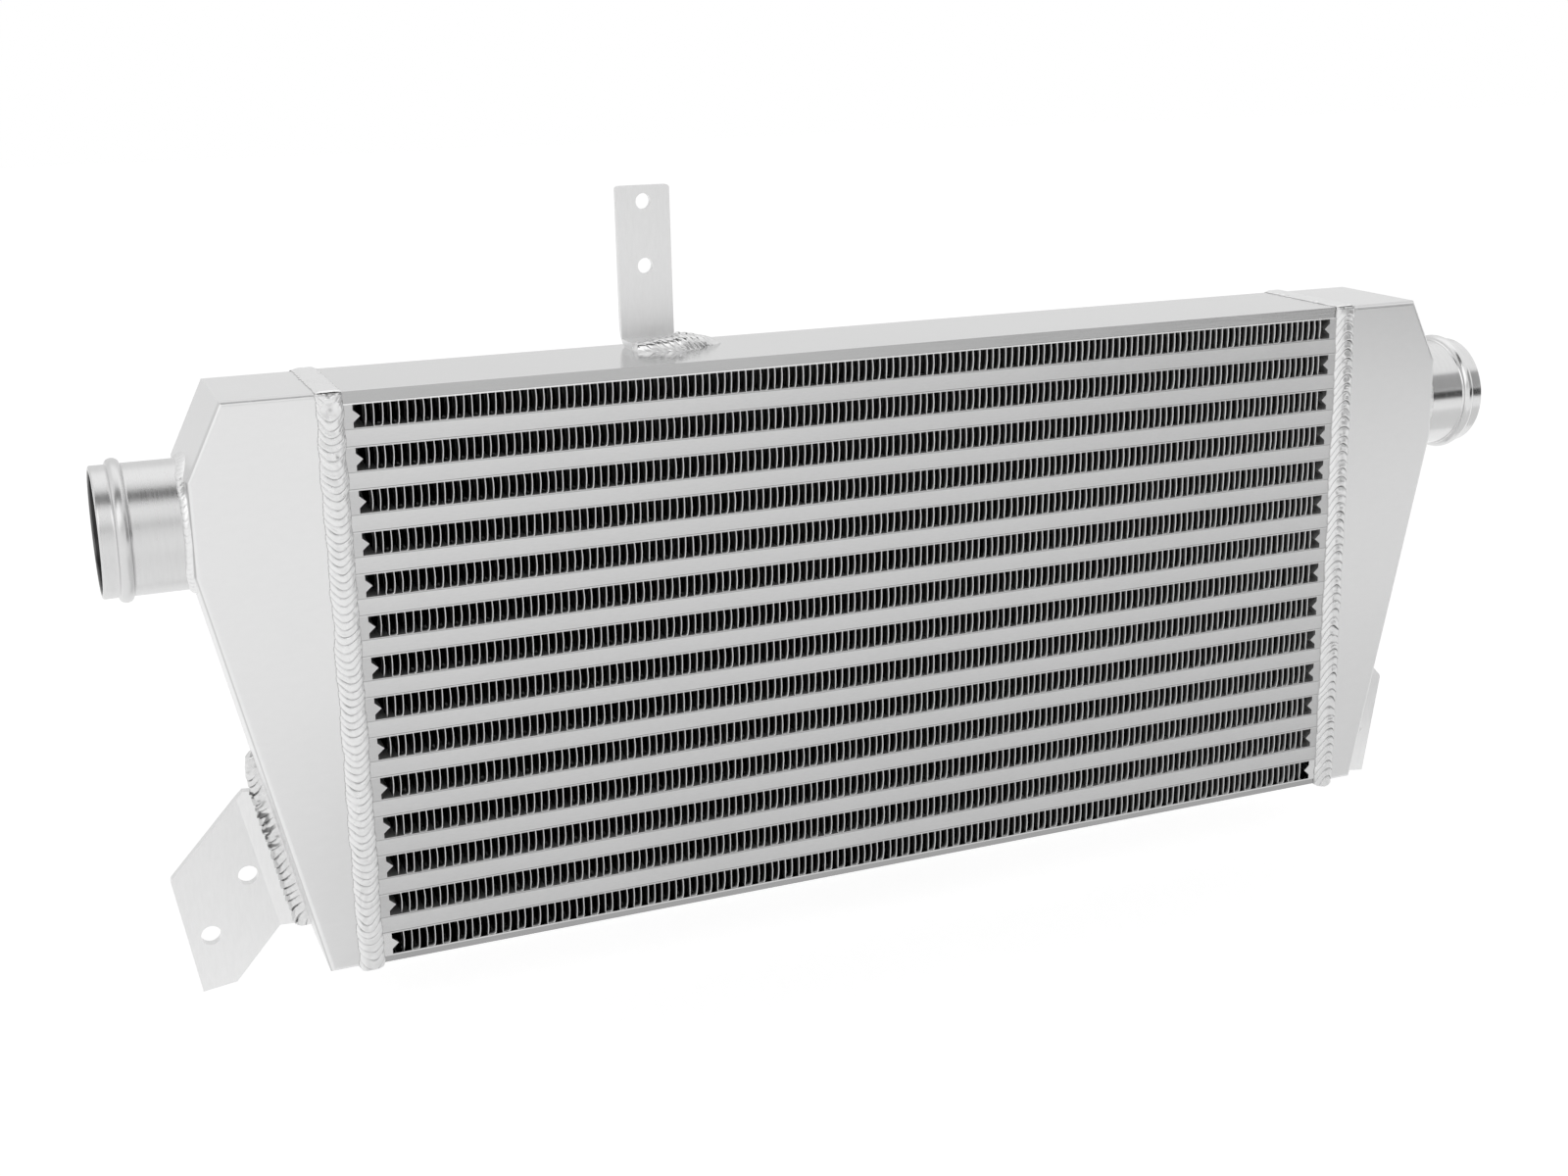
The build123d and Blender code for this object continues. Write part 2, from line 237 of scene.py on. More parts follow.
# Places on the tanks and brackets, repeated from the CAD source
BOTTOM_RUN = 0.016
SEAT_RUN = 0.0528
TOP_RUN = 0.039
SEAT_TOP_DROP = 0.0287
SEAT_BOTTOM_DROP = 0.0649
SEAM_Y = 0.0191
TOP_BRACKET_X = -0.0876
FOOT_LEFT = TOP_BRACKET_X - 0.0108
FOOT_RIGHT = TOP_BRACKET_X + 0.0114
TOE_Y = 0.0080
HEEL_Y = 0.0240

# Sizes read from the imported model
cell_low, cell_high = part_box("charge_cell_01")
pipes_low, pipes_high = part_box("pipes")
plate_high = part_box("top_side_plate")[1]
HALF_DEPTH = cell_high.y
TANK_HALF_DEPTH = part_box("left_tank")[1].y
CORE_TOP = plate_high.z
CORE_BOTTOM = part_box("bottom_side_plate")[0].z
CORE_HEIGHT = CORE_TOP - CORE_BOTTOM
WELD_PLANE = plate_high.x
ROW_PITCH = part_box("charge_cell_02")[0].z - cell_low.z
FIRST_SHEET = cell_low.z - CORE_BOTTOM
STUB_HEIGHT = (pipes_low.z + pipes_high.z) / 2
STUB_END = pipes_high.x
STUB_RADIUS = (pipes_high.z - pipes_low.z) / 2 - BEAD_RISE

# Eased edges of the tanks and brackets
TANK_BEVEL = 0.0005
BRACKET_BEVEL = 0.0004
BEVEL_SEGMENTS = 3
BEVEL_ANGLE = math.radians(35)

# Grain of the metals: detail and roughness of the noise, and how its middle range is spread
GRAIN_DETAIL = (6.0, 0.6)
CLOUD_SCALE = 14.0
CLOUD_DETAIL = (3.0, 0.5)
GRAIN_RANGE = (0.3, 0.7)
GLOSS_SPREAD = 0.05
BUMP_DISTANCE = 0.0002

# Greys painted on the metals, most of them painted shade: (position, grey) stops over a distance in the object
# Painted shade: a dark line just behind the tanks' front and back edges
TANK_EDGE_REACH = 0.004
TANK_EDGE_SHADE_STOPS = ((0.0, 1.0), (0.11, 1.0), (0.17, 0.72), (0.36, 0.86), (0.75, 1.0))
# Painted shade on the side plates' front faces, and a painted highlight: a bright band along the front of their
# broad faces, which are a little darker further back
PLATE_EDGE_REACH = 0.002
PLATE_EDGE_SHADE_STOPS = ((0.0, 1.0), (0.10, 1.0), (0.15, 0.58), (0.26, 0.62), (0.31, 1.0), (0.70, 1.0), (0.80, 0.89))
# Painted shade in the air fins' channels, darker the further behind the front and back faces
FIN_REACH = 0.010
FIN_DEPTH_SHADE_STOPS = ((0.0, 1.0), (0.06, 0.9), (0.09, 0.26), (0.22, 0.12), (0.5, 0.03), (1.0, 0.01))
# Painted shade inside the hose stubs' bores
BORE_REACH = 0.05
BORE_SHADE_STOPS = ((0.0, 0.10), (0.46, 0.14), (0.475, 1.0), (1.0, 1.0))
# Painted shade in the creases and hollows that the welds' mesh attribute marks
CREASE_SHADE_STOPS = ((0.0, 1.0), (0.2, 0.92), (0.55, 0.42), (1.0, 0.08))
SHEET_STOPS = (
    (0.0, 1.0), (0.028, 1.0), (0.040, 0.30), (0.052, 0.95),
    (0.420, 1.0), (0.434, 0.50), (0.452, 0.87), (0.995, 0.87),
)


# Materials

def new_material(name):
    """A material with its node tree and shader."""
    material = bpy.data.materials.new(name)
    material.use_nodes = True
    return material, material.node_tree, material.node_tree.nodes["Principled BSDF"]


def object_coordinates(tree, scale=(1, 1, 1)):
    """Object coordinates, stretched along the grain."""
    place = tree.nodes.new("ShaderNodeTexCoord")
    mapping = tree.nodes.new("ShaderNodeMapping")
    mapping.inputs["Scale"].default_value = scale
    tree.links.new(place.outputs["Object"], mapping.inputs["Vector"])
    return mapping.outputs["Vector"]


def axis_value(tree, axis):
    """One coordinate of the object's own space."""
    split = tree.nodes.new("ShaderNodeSeparateXYZ")
    tree.links.new(object_coordinates(tree), split.inputs[0])
    return split.outputs[axis]


def noise(tree, vector, scale, detail, roughness):
    node = tree.nodes.new("ShaderNodeTexNoise")
    node.inputs["Scale"].default_value = scale
    node.inputs["Detail"].default_value = detail
    node.inputs["Roughness"].default_value = roughness
    tree.links.new(vector, node.inputs["Vector"])
    return node.outputs["Fac"]


def math_node(tree, operation, first, second=None):
    """A math node on sockets or plain numbers."""
    node = tree.nodes.new("ShaderNodeMath")
    node.operation = operation
    for slot, value in enumerate((first, second)):
        if value is None:
            continue
        if isinstance(value, (int, float)):
            node.inputs[slot].default_value = value
        else:
            tree.links.new(value, node.inputs[slot])
    return node.outputs[0]


def grey(level):
    return (level, level, level, 1)


def ramp(tree, value, stops):
    """Greys that follow a value, through (position, grey) stops."""
    node = tree.nodes.new("ShaderNodeValToRGB")
    elements = node.color_ramp.elements
    while len(elements) < len(stops):
        elements.new(0.5)
    for element, (position, level) in zip(elements, stops):
        element.position = position
        element.color = grey(level)
    tree.links.new(value, node.inputs["Fac"])
    return node.outputs["Color"]


def metal(name, level, roughness, grain, bump, stretch=(1, 1, 1), spread=0.04, metallic=1.0):
    """Bare aluminium: a fine grain in tone, roughness and height, over slow cloudy variation."""
    material, tree, shader = new_material(name)
    fine = noise(tree, object_coordinates(tree, stretch), grain, *GRAIN_DETAIL)
    clouds = noise(tree, object_coordinates(tree), CLOUD_SCALE, *CLOUD_DETAIL)
    mixed = math_node(tree, "MULTIPLY", math_node(tree, "ADD", fine, clouds), 0.5)
    start, end = GRAIN_RANGE
    tone = ramp(tree, mixed, ((start, level - spread), (end, level + spread)))
    gloss = ramp(tree, mixed, ((start, roughness - GLOSS_SPREAD), (end, roughness + GLOSS_SPREAD)))
    height = tree.nodes.new("ShaderNodeBump")
    height.inputs["Strength"].default_value = bump
    height.inputs["Distance"].default_value = BUMP_DISTANCE
    shader.inputs["Metallic"].default_value = metallic
    tree.links.new(tone, shader.inputs["Base Color"])
    tree.links.new(gloss, shader.inputs["Roughness"])
    tree.links.new(fine, height.inputs["Height"])
    tree.links.new(height.outputs["Normal"], shader.inputs["Normal"])
    return material


def shade_base(material, stops, value):
    """Multiplies a material's base colour by greys that follow a value."""
    tree = material.node_tree
    base_colour = tree.nodes["Principled BSDF"].inputs["Base Color"]
    mix = tree.nodes.new("ShaderNodeMix")
    mix.data_type = "RGBA"
    mix.blend_type = "MULTIPLY"
    mix.inputs["Factor"].default_value = 1.0
    first, second = (slot for slot in mix.inputs if slot.type == "RGBA")
    result = next(slot for slot in mix.outputs if slot.type == "RGBA")
    tree.links.new(base_colour.links[0].from_socket, first)
    tree.links.new(ramp(tree, value, stops), second)
    tree.links.new(result, base_colour)


def shade_with_depth(material, half_depth, reach, stops):
    """Paints shade by the depth behind the front face at half_depth, and behind the back face alike."""
    tree = material.node_tree
    away = math_node(tree, "ABSOLUTE", axis_value(tree, "Y"))
    depth = math_node(tree, "DIVIDE", math_node(tree, "SUBTRACT", half_depth, away), reach)
    shade_base(material, stops, depth)


def shade_bore(material):
    """Paints shade inside the hose stubs, whose bores open into the closed tanks."""
    tree = material.node_tree
    lifted = math_node(tree, "SUBTRACT", axis_value(tree, "Z"), STUB_HEIGHT)
    sideways = axis_value(tree, "Y")
    squares = math_node(tree, "ADD", math_node(tree, "POWER", sideways, 2), math_node(tree, "POWER", lifted, 2))
    radius = math_node(tree, "SQRT", squares)
    shade_base(material, BORE_SHADE_STOPS, math_node(tree, "DIVIDE", radius, BORE_REACH))


def shade_creases(material):
    """Paints shade where the mesh attribute marks it: in the creases between weld scales, along the welds' edges
    and ends, and in the crater, pits and folds.
    """
    marks = material.node_tree.nodes.new("ShaderNodeAttribute")
    marks.attribute_name = "crease"
    shade_base(material, CREASE_SHADE_STOPS, marks.outputs["Fac"])


def shade_sheets(material):
    """Draws thin shadow lines where the bars meet the parting sheets, one pair a row."""
    tree = material.node_tree
    lifted = math_node(tree, "SUBTRACT", axis_value(tree, "Z"), CORE_BOTTOM)
    turns = math_node(tree, "DIVIDE", math_node(tree, "SUBTRACT", lifted, FIRST_SHEET), ROW_PITCH)
    shade_base(material, SHEET_STOPS, math_node(tree, "FRACT", turns))


tank_metal = metal(
    "tank_metal", level=0.825, roughness=0.34, grain=500.0, bump=0.08,
    stretch=(0.3, 1, 0.6), spread=0.02, metallic=0.85,
)
bar_metal = metal(
    "bar_metal", level=0.72, roughness=0.40, grain=1400.0, bump=0.22, stretch=(0.25, 1, 1), metallic=0.8,
)
plate_metal = metal("plate_metal", level=0.73, roughness=0.14, grain=1200.0, bump=0.05, stretch=(0.05, 1, 1))
satin_metal = metal("stub_satin", level=0.68, roughness=0.30, grain=900.0, bump=0.05, stretch=(1, 0.1, 0.1))
polished_metal = metal("stub_polished", level=0.72, roughness=0.20, grain=900.0, bump=0.04, stretch=(1, 0.1, 0.1))
bracket_metal = metal(
    "bracket_metal", level=0.85, roughness=0.36, grain=1000.0, bump=0.10, stretch=(1, 1, 0.2), metallic=0.8,
)
seam_metal = metal("seam_metal", level=0.70, roughness=0.15, grain=420.0, bump=0.45, spread=0.12, metallic=0.95)
weld_metal = metal("weld_metal", level=0.86, roughness=0.30, grain=900.0, bump=0.05, metallic=0.8)
fin_metal = metal("fin_metal", level=0.86, roughness=0.38, grain=1800.0, bump=0.08, metallic=0.75)
# A dark copy of the fin aluminium: painted shade for the fins inside the core
inner_fin_shade_metal = metal("inner_fin_shade_metal", level=0.30, roughness=0.50, grain=1500.0, bump=0.08)

shade_with_depth(tank_metal, TANK_HALF_DEPTH, TANK_EDGE_REACH, TANK_EDGE_SHADE_STOPS)
shade_with_depth(plate_metal, HALF_DEPTH, PLATE_EDGE_REACH, PLATE_EDGE_SHADE_STOPS)
shade_with_depth(fin_metal, HALF_DEPTH, FIN_REACH, FIN_DEPTH_SHADE_STOPS)
shade_sheets(bar_metal)
shade_bore(satin_metal)
shade_bore(polished_metal)
shade_creases(seam_metal)
shade_creases(weld_metal)


# Meshes and pieces

def clamp(value, low, high):
    return min(high, max(low, value))


def field(*place):
    """Smooth noise between -1 and 1. The places' steady numbers keep one use's noise apart from another's."""
    return fields.noise(Vector(place))


def spread_across(count):
    """Evenly spread places across a bead, from -1 on one edge to 1 on the other."""
    return [-1 + 2 * point / (count - 1) for point in range(count)]


def smooth_mesh(name, vertices, faces):
    mesh = bpy.data.meshes.new(name)
    mesh.from_pydata(vertices, [], faces)
    mesh.update()
    for face in mesh.polygons:
        face.use_smooth = True
    return mesh


def grid_mesh(name, rows, closed=False):
    """A skin over rows that all have the same number of points. Closed rows run round into rings."""
    width = len(rows[0])
    vertices = [point for row in rows for point in row]
    faces = []
    for start in range(0, (len(rows) - 1) * width, width):
        for step in range(width if closed else width - 1):
            follower = (step + 1) % width
            faces.append((start + step, start + follower, start + width + follower, start + width + step))
    return smooth_mesh(name, vertices, faces)


def add_piece(name, mesh, material, slot, *replaced):
    """Puts a mesh into the scene on the root body, in its finish, in place of any CAD nodes named."""
    piece = bpy.data.objects.new(name, mesh)
    bpy.context.scene.collection.objects.link(piece)
    mesh.materials.append(material)
    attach(piece, "root")
    if replaced:
        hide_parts(*replaced)
    return piece


def add_bead(name, rows, painted_shades, material, *replaced):
    """A weld bead from its rows of points, with the painted shade of each point kept for the metal's creases."""
    mesh = grid_mesh(name, rows)
    layer = mesh.attributes.new("crease", "FLOAT", "POINT")
    layer.data.foreach_set("value", painted_shades)
    add_piece(name, mesh, material, "weld", *replaced)


# Air fins

def fold_walls(length, seed):
    """Where each wall of a row stands, with its lean and bow, shared by the strips of that row."""
    chance = random.Random(seed)
    count = round(length / FIN_PITCH)
    step = length / count
    walls = []
    for index in range(count):
        place = (index + 0.5) * step + step * chance.uniform(*WALL_WANDER)
        lean = step * chance.uniform(*WALL_LEAN)
        bow = step * chance.uniform(*WALL_BOW)
        walls.append((place, lean, bow))
    return walls, step


def strip_outline(walls, step, low, high, shift):
    """The folded line of one strip: walls joined by rounded crests, top and bottom in turn."""
    bottom = low.z + FOIL / 2
    rise = high.z - low.z - FOIL
    line = []
    for index, (place, lean, bow) in enumerate(walls):
        upward = index % 2 == 0
        for point in range(WALL_POINTS):
            share = point / (WALL_POINTS - 1)
            height = share if upward else 1 - share
            x = place + shift + lean * (height - 0.5) + bow * math.sin(math.pi * height)
            line.append((x, bottom + rise * (CREST_SHARE + (1 - 2 * CREST_SHARE) * height)))
        crest = bottom + (rise if upward else 0)
        drop = rise * CREST_SHARE * (CREST_DROP if upward else -CREST_DROP)
        wall_end = line[-1][0]
        for part, z in zip(CREST_STEPS, (crest - drop, crest, crest)):
            line.append((wall_end + step * part, z))
    return [(clamp(x, low.x + FOIL, high.x - FOIL), z) for x, z in line]


def make_fin_row(name, seed):
    """One air row's folded fin: strips one behind the other, each set off from its neighbours."""
    low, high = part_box(name)
    low.z -= BRAZE_DEPTH
    high.z += BRAZE_DEPTH
    depth = high.y - low.y
    walls, step = fold_walls(high.x - low.x, seed)
    vertices = []
    faces = []
    for strip, (front, back) in enumerate(zip(STRIP_DEPTHS, STRIP_DEPTHS[1:])):
        outline = strip_outline(walls, step, low, high, STRIP_SHIFT * (strip % 2) + low.x)
        start = len(vertices)
        total = len(outline)
        for share in (front, back):
            vertices.extend((x, low.y + share * depth, z) for x, z in outline)
        for i in range(start, start + total - 1):
            faces.append((i, i + 1, i + total + 1, i + total))
    foil = smooth_mesh(name + "_foil", vertices, faces)
    piece = add_piece(name + "_foil", foil, fin_metal, "fin", name)
    gauge = piece.modifiers.new("gauge", "SOLIDIFY")
    gauge.thickness = FOIL
    gauge.offset = 0


# Welds

def crease(distance, across, pitch, sag, seed, unrest=UNREST):
    """How deep in a crease between two scales a point lies, and how far its scale has swelled, both up to 1."""
    wander = unrest * field(distance * WANDER_WAVES, across * 0.8, seed)
    phase = (distance - sag * (1 - across * across)) / pitch + wander
    index = math.floor(phase)
    share = phase - index
    nearest = index if share < 0.5 else index + 1
    change = CREASE_CHANGE * field(nearest * 3.7, across * 1.3, seed)
    strength = clamp(USUAL_CREASE + change, WEAKEST_CREASE, 1.0)
    away = min(share, 1 - share) / CREASE_SHARE
    depth = strength * (0.5 + 0.5 * math.cos(math.pi * away)) if away < 1 else 0.0
    return depth, strength * share


def joint_path(distance):
    """Point and outward direction on a tank's joint: down the front, back underneath and up behind."""
    under = 2 * HALF_DEPTH
    outward = (Vector((0, -1, 0)), Vector((0, 0, -1)), Vector((0, 1, 0)))
    if distance < CORE_HEIGHT:
        face = 0
        place = Vector((0, -HALF_DEPTH, CORE_TOP - distance))
    elif distance < CORE_HEIGHT + under:
        face = 1
        place = Vector((0, distance - CORE_HEIGHT - HALF_DEPTH, CORE_BOTTOM))
    else:
        face = 2
        place = Vector((0, HALF_DEPTH, CORE_BOTTOM + distance - CORE_HEIGHT - under))
    direction = outward[face]
    for corner, before in ((CORE_HEIGHT, 0), (CORE_HEIGHT + under, 1)):
        near = 1 - abs(distance - corner) / CORNER_FOLD
        if near > 0:
            neighbour = outward[before + 1] if face == before else outward[before]
            direction = direction + neighbour * near
    return place, direction


def tank_weld_point(side, distance, across, wide, crown):
    """A tank weld at one point: its height, how far it spreads, and its painted shade."""
    arch = math.sqrt(max(0.0, 1 - across * across))
    crater = NO_CRATER
    dome = 0.0
    if side == LEFT:
        crater = math.hypot(distance - CRATER_PLACE, across * wide) / CRATER_RADIUS
    else:
        dome = max(0.0, 1 - distance / DOME_RUN)
    calm = clamp((crater - CALM_START) / CALM_RUN, 0.0, 1.0) * (1 - dome)

    dip, swell = crease(distance + SKEW[side] * across, across, RIPPLE[side], SAG[side], side)
    dip *= calm
    scales = (SCALE_RISE * (swell - 1) * calm - CREASE_DEPTH * dip) * arch ** 0.5
    lumps = LUMP_RISE * field(distance * FINE_WAVES, across * 3, 4.0)
    height = crown * CROWN_SHARE * arch ** 0.8 + scales + lumps * arch - EDGE_SINK * (1 - arch)
    if crater < 1:
        height -= CRATER_DEPTH * (1 - crater * crater)
    if distance < END_RUN:
        height *= END_HEIGHT + (1 - END_HEIGHT) * math.sqrt(distance / END_RUN)
    height = min(height, crown - CROWN_GAP)
    spread = 1 + SCALE_SPREAD * (1 - dip) * abs(across) ** 3

    # Painted shade in the creases, along the edges, across the upper end and in the crater's pool
    edge_line = EDGE_TONE if abs(across) > EDGE_START else 0.0
    if distance < END_LINE:
        edge_line = END_TONE + END_TONE_CHANGE * field(across * 4, 2.0, side)
    pool = PAINTED_POOL_SHADE * max(0.0, 1 - crater * POOL_FALL)
    shade = max(dip * arch ** 0.5 * PAINTED_CREASE_SHADE[side], edge_line, pool)
    return height, spread, shade


def make_tank_weld(side):
    """The scaled bead round a tank joint, on its front, underside and back, with the ground strip on top."""
    name = SIDE_NAMES[side] + "_tank_weld"
    low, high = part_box(name)
    half_width = (high.x - low.x) / 2
    middle = (high.x + low.x) / 2
    crown = -low.y - HALF_DEPTH
    total = 2 * CORE_HEIGHT + 2 * HALF_DEPTH
    rows = []
    painted_shades = []
    for index in range(TANK_WELD_STEPS + 1):
        distance = total * index / TANK_WELD_STEPS
        place, direction = joint_path(distance)
        wide = half_width * (WIDTH_SHARE + WIDTH_CHANGE * field(distance * WIDTH_WAVES, 3.0 + side, 0.3))
        sway = SWAY * field(distance * SWAY_WAVES, 8.0 + side, 1.3)
        row = []
        for across in spread_across(ACROSS_POINTS):
            height, spread, shade = tank_weld_point(side, distance, across, wide, crown)
            x = clamp(middle + sway + across * wide * spread, low.x, high.x)
            row.append(tuple(Vector((x, 0, 0)) + place + direction * height))
            painted_shades.append(shade)
        rows.append(row)
    add_bead(name + "_bead", rows, painted_shades, weld_metal, name)
    make_ground_strip(name, low, high, middle, half_width)


def make_ground_strip(name, low, high, middle, half_width):
    """The top of the bead, ground low and lumpy, with ragged edges and small pits."""
    rows = []
    painted_shades = []
    for index in range(GROUND_STEPS + 1):
        y = -HALF_DEPTH - GROUND_OVERHANG + 2 * (HALF_DEPTH + GROUND_OVERHANG) * index / GROUND_STEPS
        end = min(1.0, min(index, GROUND_STEPS - index) / GROUND_END_STEPS)
        left = half_width * (WIDTH_SHARE + GROUND_EDGE_CHANGE * field(y * FINE_WAVES, 1.0, middle * 9))
        right = half_width * (WIDTH_SHARE + GROUND_EDGE_CHANGE * field(y * FINE_WAVES, 5.0, middle * 9))
        row = []
        for across in spread_across(GROUND_POINTS):
            edge = (1 - abs(across) ** 6) * (GROUND_END_SHARE + (1 - GROUND_END_SHARE) * end)
            scratch = SCRATCH_DEPTH * field(across * 30, y * SCRATCH_WAVES, 5)
            speck = PIT_GAIN * field(across * 5, y * PIT_WAVES, middle * 31)
            pit = clamp(speck - PIT_THRESHOLD, 0.0, 1.0) * min(1.0, abs(across) * 1.6)
            lumps = GROUND_LUMPS * field(across * 1.6, y * GROUND_LUMP_WAVES, middle * 17)
            height = (GROUND_RISE + lumps) * edge + scratch - PIT_DEPTH * pit
            x = clamp(middle + across * (right if across > 0 else left), low.x, high.x)
            row.append((x, y, CORE_TOP + max(height, GROUND_LOWEST)))
            # Painted shade in the pits and along the ragged edges
            edge_line = PAINTED_GROUND_EDGE_SHADE if abs(across) > GROUND_EDGE_START else 0.0
            painted_shades.append(max(PAINTED_PIT_SHADE * pit, edge_line))
        rows.append(row)
    add_bead(name + "_ground", rows, painted_shades, weld_metal)


def tank_face(height):
    """How far out the end faces of a tank lie at a height: chamfer, hose seat and slant in turn."""
    lifted = height - CORE_BOTTOM
    seat_top = CORE_HEIGHT - SEAT_TOP_DROP
    seat_bottom = CORE_HEIGHT - SEAT_BOTTOM_DROP
    if lifted > seat_top:
        return WELD_PLANE + SEAT_RUN + (TOP_RUN - SEAT_RUN) * (lifted - seat_top) / SEAT_TOP_DROP
    if lifted > seat_bottom:
        return WELD_PLANE + SEAT_RUN
    return WELD_PLANE + BOTTOM_RUN + (SEAT_RUN - BOTTOM_RUN) * lifted / seat_bottom


def make_stub_weld(side):
    """The small scaled fillet round a hose stub, laid on whichever tank faces it crosses."""
    inner = STUB_RADIUS - FILLET_SINK
    rows = []
    painted_shades = []
    for index in range(FILLET_STEPS):
        angle = 2 * math.pi * index / FILLET_STEPS
        swell = 1 + FILLET_CHANGE * field(angle * 9, side, 2.2)
        row = []
        for across in spread_across(FILLET_POINTS):
            turn = math.pi / 4 * (1 + across)
            middle = 1 - across * across
            dip, scale = crease(angle * inner, across, FILLET_RIPPLE, FILLET_SAG, side)
            bulge = FILLET_LEG * (1 - (FILLET_DIP * dip + FILLET_SWELL * (1 - scale)) * middle)
            radius = inner + FILLET_RIM * math.sin(turn) * bulge * min(swell, 1.0)
            height = STUB_HEIGHT + radius * math.sin(angle)
            out = tank_face(height) - FILLET_SINK + math.cos(turn) * bulge * swell
            row.append((side * out, radius * math.cos(angle), height))
            # Painted shade in the creases between the fillet's scales
            painted_shades.append(PAINTED_FILLET_SHADE * dip * middle)
        rows.append(row)
    rows.append(rows[0])
    painted_shades.extend(painted_shades[:FILLET_POINTS])
    add_bead(SIDE_NAMES[side] + "_stub_weld", rows, painted_shades, weld_metal, "pipe_welds")


def half_bead(name, stations, outward, pitch, sag, seed, unrest, dark_run=(0.0, 0.0)):
    """A scaled bead like half a tube, through (place, radius) stations, with painted shade in its creases and dark
    patches of painted shade in the folds along dark_run.
    """
    places = [Vector(place) for place, radius in stations]
    radii = [radius for place, radius in stations]
    runs = [0.0]
    for first, second in zip(places, places[1:]):
        runs.append(runs[-1] + (second - first).length)
    total = runs[-1]
    count = int(total / BEAD_STEP)
    rows = []
    painted_shades = []
    for index in range(count + 1):
        distance = total * index / count
        leg = 0
        while leg < len(runs) - 2 and distance > runs[leg + 1]:
            leg += 1
        share = (distance - runs[leg]) / (runs[leg + 1] - runs[leg])
        centre = places[leg].lerp(places[leg + 1], share)
        along = (places[leg + 1] - places[leg]).normalized()
        out = (outward - along * outward.dot(along)).normalized()
        sideways = along.cross(out)
        radius = radii[leg] * (1 - share) + radii[leg + 1] * share
        radius *= 1 + BEAD_CHANGE * field(distance * BEAD_CHANGE_WAVES, seed, 0.7)
        nearest_end = min(distance, total - distance)
        radius *= math.sqrt(min(1.0, nearest_end / BEAD_END_ROUND)) + BEAD_THINNEST
        fade = clamp((radius / max(radii) - BEAD_FADE_START) / BEAD_FADE_RUN, BEAD_FAINTEST, 1.0)
        row = []
        for across in spread_across(ACROSS_POINTS):
            angle = across * math.pi / 2
            edge = math.cos(angle) ** 0.5 if abs(across) < 1 else 0.0
            dip, swell = crease(distance, across, pitch, sag, seed, unrest)
            dip *= fade
            lumps = BEAD_LUMPS * field(distance * BEAD_LUMP_WAVES, across * 3, seed)
            reach = radius * (1 - (BEAD_DIP * dip + BEAD_SWELL * (1 - swell) * fade - lumps) * edge)
            row.append(tuple(centre + (out * math.cos(angle) + sideways * math.sin(angle)) * reach))
            # Painted shade in the creases, and in patches in the folds along dark_run
            shade = dip * edge
            if dark_run[0] < distance < dark_run[1]:
                patch = field(distance * FINE_WAVES - across * 1.2, across * 2.2, seed)
                shade = max(shade, clamp(patch * FOLD_GAIN, 0.0, PAINTED_FOLD_SHADE_DARKEST) * edge)
            painted_shades.append(shade)
        rows.append(row)
    add_bead(name, rows, painted_shades, seam_metal, "bracket_welds")


def make_bracket_welds():
    """Scaled beads along the lower brackets' seams and round the upper bracket's foot."""
    for side in (LEFT, RIGHT):
        stations = []
        for lifted, radius in SEAM_STATIONS:
            height = CORE_BOTTOM + lifted
            stations.append(((side * tank_face(height), SEAM_Y, height), radius))
        half_bead(
            SIDE_NAMES[side] + "_seam_bead", stations, Vector((side, 0, SEAM_OUTWARD_FALL)),
            SEAM_RIPPLE, SEAM_SAG, SEAM_SEED + side, SEAM_UNREST, SEAM_DARK_RUN,
        )
    toe_stations = (
        ((FOOT_LEFT - 0.0010, TOE_Y + 0.0004, CORE_TOP), 0.0036),
        ((FOOT_LEFT + 0.0070, TOE_Y - 0.0010, CORE_TOP), 0.0052),
        ((FOOT_RIGHT - 0.0040, TOE_Y - 0.0010, CORE_TOP), 0.0064),
        ((FOOT_RIGHT + 0.0070, TOE_Y + 0.0010, CORE_TOP), 0.0048),
        ((FOOT_RIGHT + 0.0165, TOE_Y + 0.0030, CORE_TOP), 0.0010),
    )
    side_stations = (
        ((FOOT_RIGHT - 0.0010, HEEL_Y, CORE_TOP), 0.0046),
        ((FOOT_RIGHT + 0.0040, HEEL_Y - 0.0020, CORE_TOP), 0.0044),
        ((FOOT_RIGHT + 0.0165, HEEL_Y - 0.0075, CORE_TOP), 0.0011),
    )
    up = Vector((0, 0, 1))
    half_bead("upper_toe_bead", toe_stations, up, FOOT_RIPPLE, TOE_SAG, TOE_SEED, FOOT_UNREST)
    half_bead("upper_side_bead", side_stations, up, FOOT_RIPPLE, HEEL_SAG, HEEL_SEED, FOOT_UNREST)


# Hose stubs

def stub_profile():
    """(Place along the axis, radius) points round a hose stub's wall, with its rolled bead and eased ends."""
    radius = STUB_RADIUS
    bore = radius - STUB_WALL
    start = WELD_PLANE + STUB_START
    bead = STUB_END - BEAD_SETBACK
    near, far = BEAD_EASE
    points = [(start, radius), (start + EASE, radius), (bead - far, radius), (bead - near, radius)]
    for k in range(BEAD_STEPS + 1):
        angle = math.pi * k / BEAD_STEPS
        points.append((bead - BEAD_HALF_WIDTH * math.cos(angle), radius + BEAD_RISE * math.sin(angle) ** 0.9))
    points.extend([(bead + near, radius), (bead + far, radius), (STUB_END - LIP - LIP_EASE, radius)])
    for k in range(LIP_STEPS + 1):
        angle = math.pi / 2 * k / LIP_STEPS
        points.append((STUB_END - LIP + LIP * math.sin(angle), radius - LIP + LIP * math.cos(angle)))
    points.extend([(STUB_END, bore + EASE), (STUB_END - EASE, bore), (STUB_END - 2 * EASE, bore)])
    points.extend([(start + EASE, bore), (start, bore), (start, radius)])
    return points


